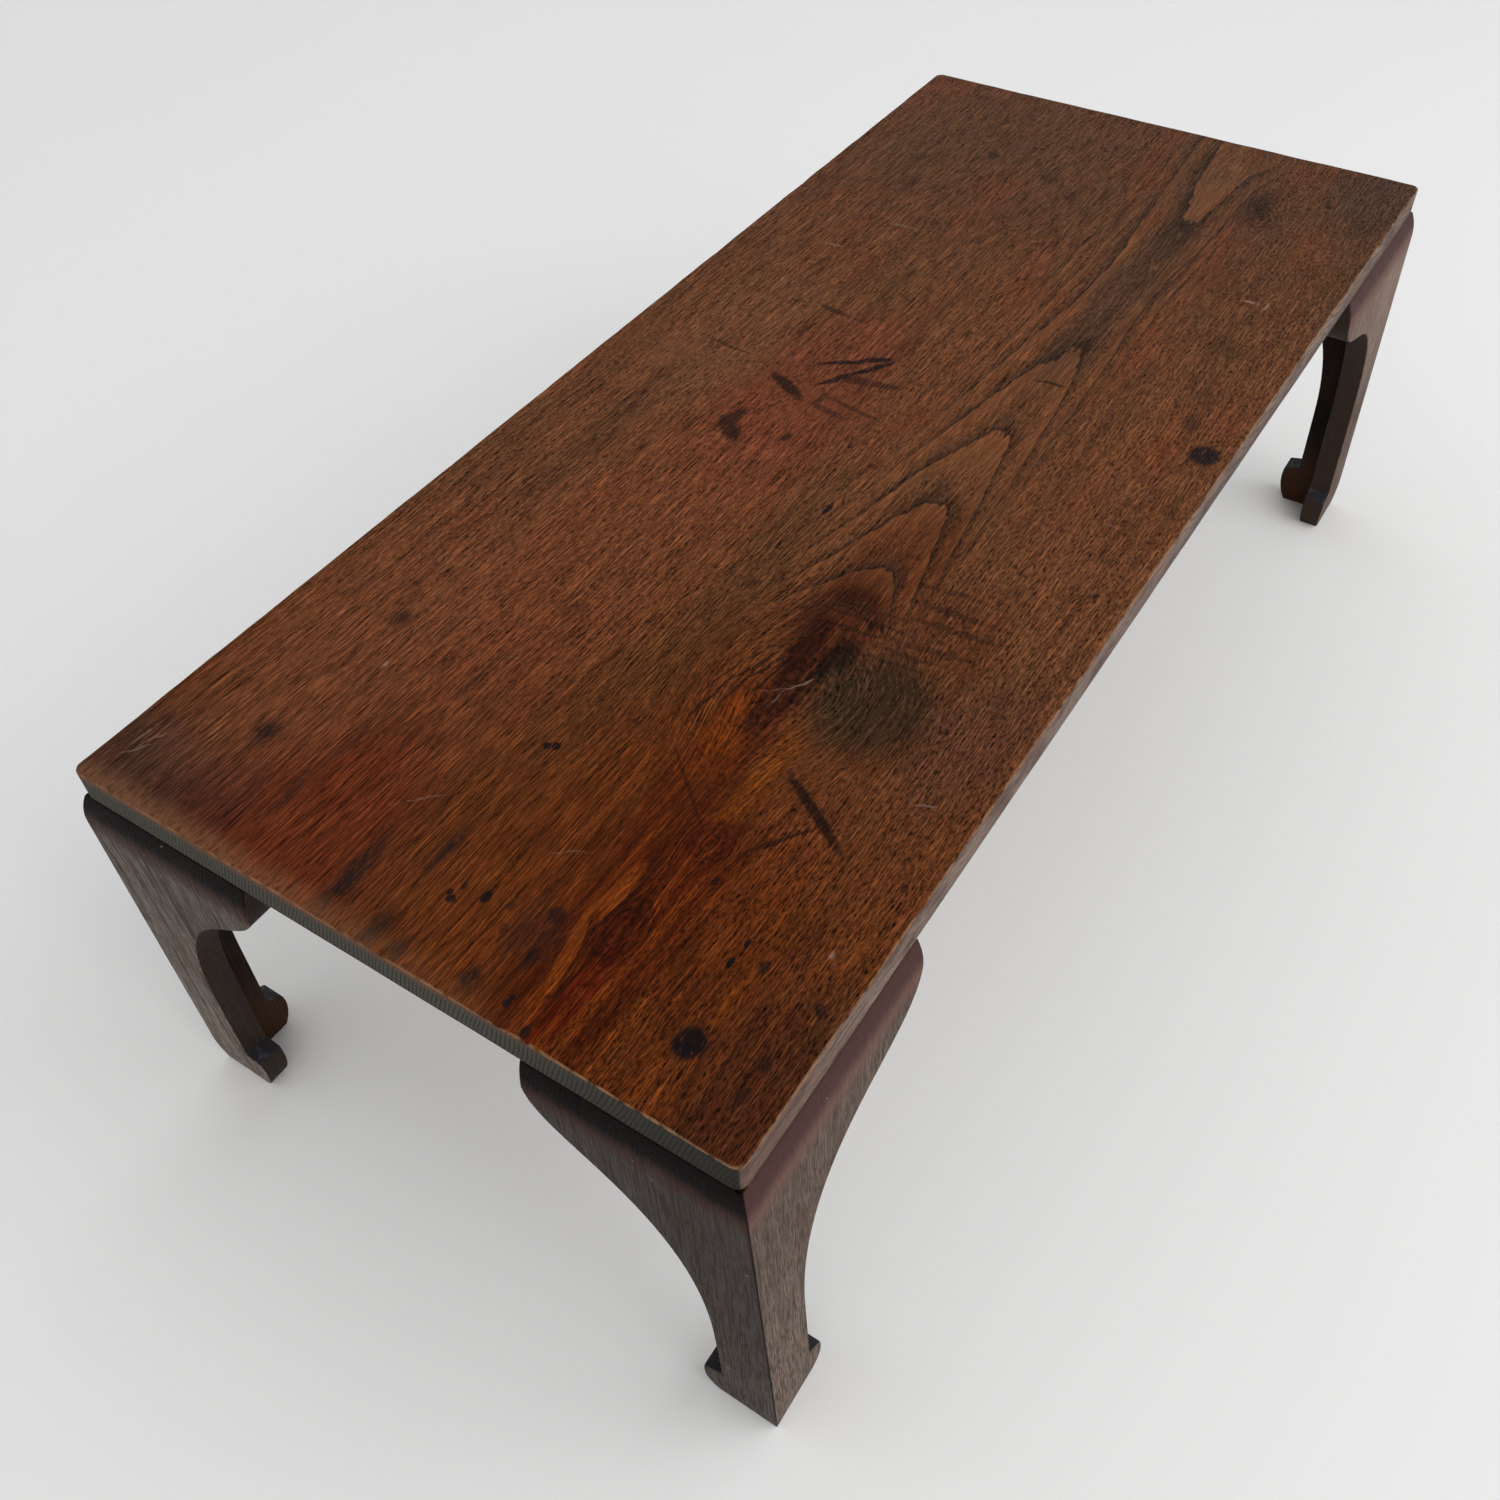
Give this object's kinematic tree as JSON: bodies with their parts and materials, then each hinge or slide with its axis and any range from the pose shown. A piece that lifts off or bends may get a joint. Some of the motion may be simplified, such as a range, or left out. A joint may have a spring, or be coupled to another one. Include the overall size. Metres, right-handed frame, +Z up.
{
  "type": "low floor table",
  "caption": "Low wooden floor table: a single-board top on mitred L-plan corner legs with S-curved brackets and small inward hooks at the feet.",
  "frame": {"origin": "on the floor, under the middle of the table", "axes": "+X along the table's length, +Y across it towards the back, +Z up"},
  "size_m": [0.918, 0.4252, 0.29],
  "materials": {
    "top_wood": "worn, rubbed red-brown lacquer on open-pored wood, with dark stains and paler arrises",
    "leg_wood": "weathered grey-brown wood with dark open pores and traces of dark lacquer under the top",
    "inner_wood": "bare, darkened wood that is not lacquered"
  },
  "bodies": {
    "root": {"top_board": "top_wood", "front_left_leg_end_board": "leg_wood", "front_left_leg_side_board": "leg_wood", "front_left_leg_spline": "inner_wood", "front_left_corner_block": "inner_wood", "front_right_leg_end_board": "leg_wood", "front_right_leg_side_board": "leg_wood", "front_right_leg_spline": "inner_wood", "front_right_corner_block": "inner_wood", "back_left_leg_end_board": "leg_wood", "back_left_leg_side_board": "leg_wood", "back_left_leg_spline": "inner_wood", "back_left_corner_block": "inner_wood", "back_right_leg_end_board": "leg_wood", "back_right_leg_side_board": "leg_wood", "back_right_leg_spline": "inner_wood", "back_right_corner_block": "inner_wood", "left_batten": "inner_wood", "right_batten": "inner_wood", "corner_block_pegs": "inner_wood"}
  },
  "joints": []
}
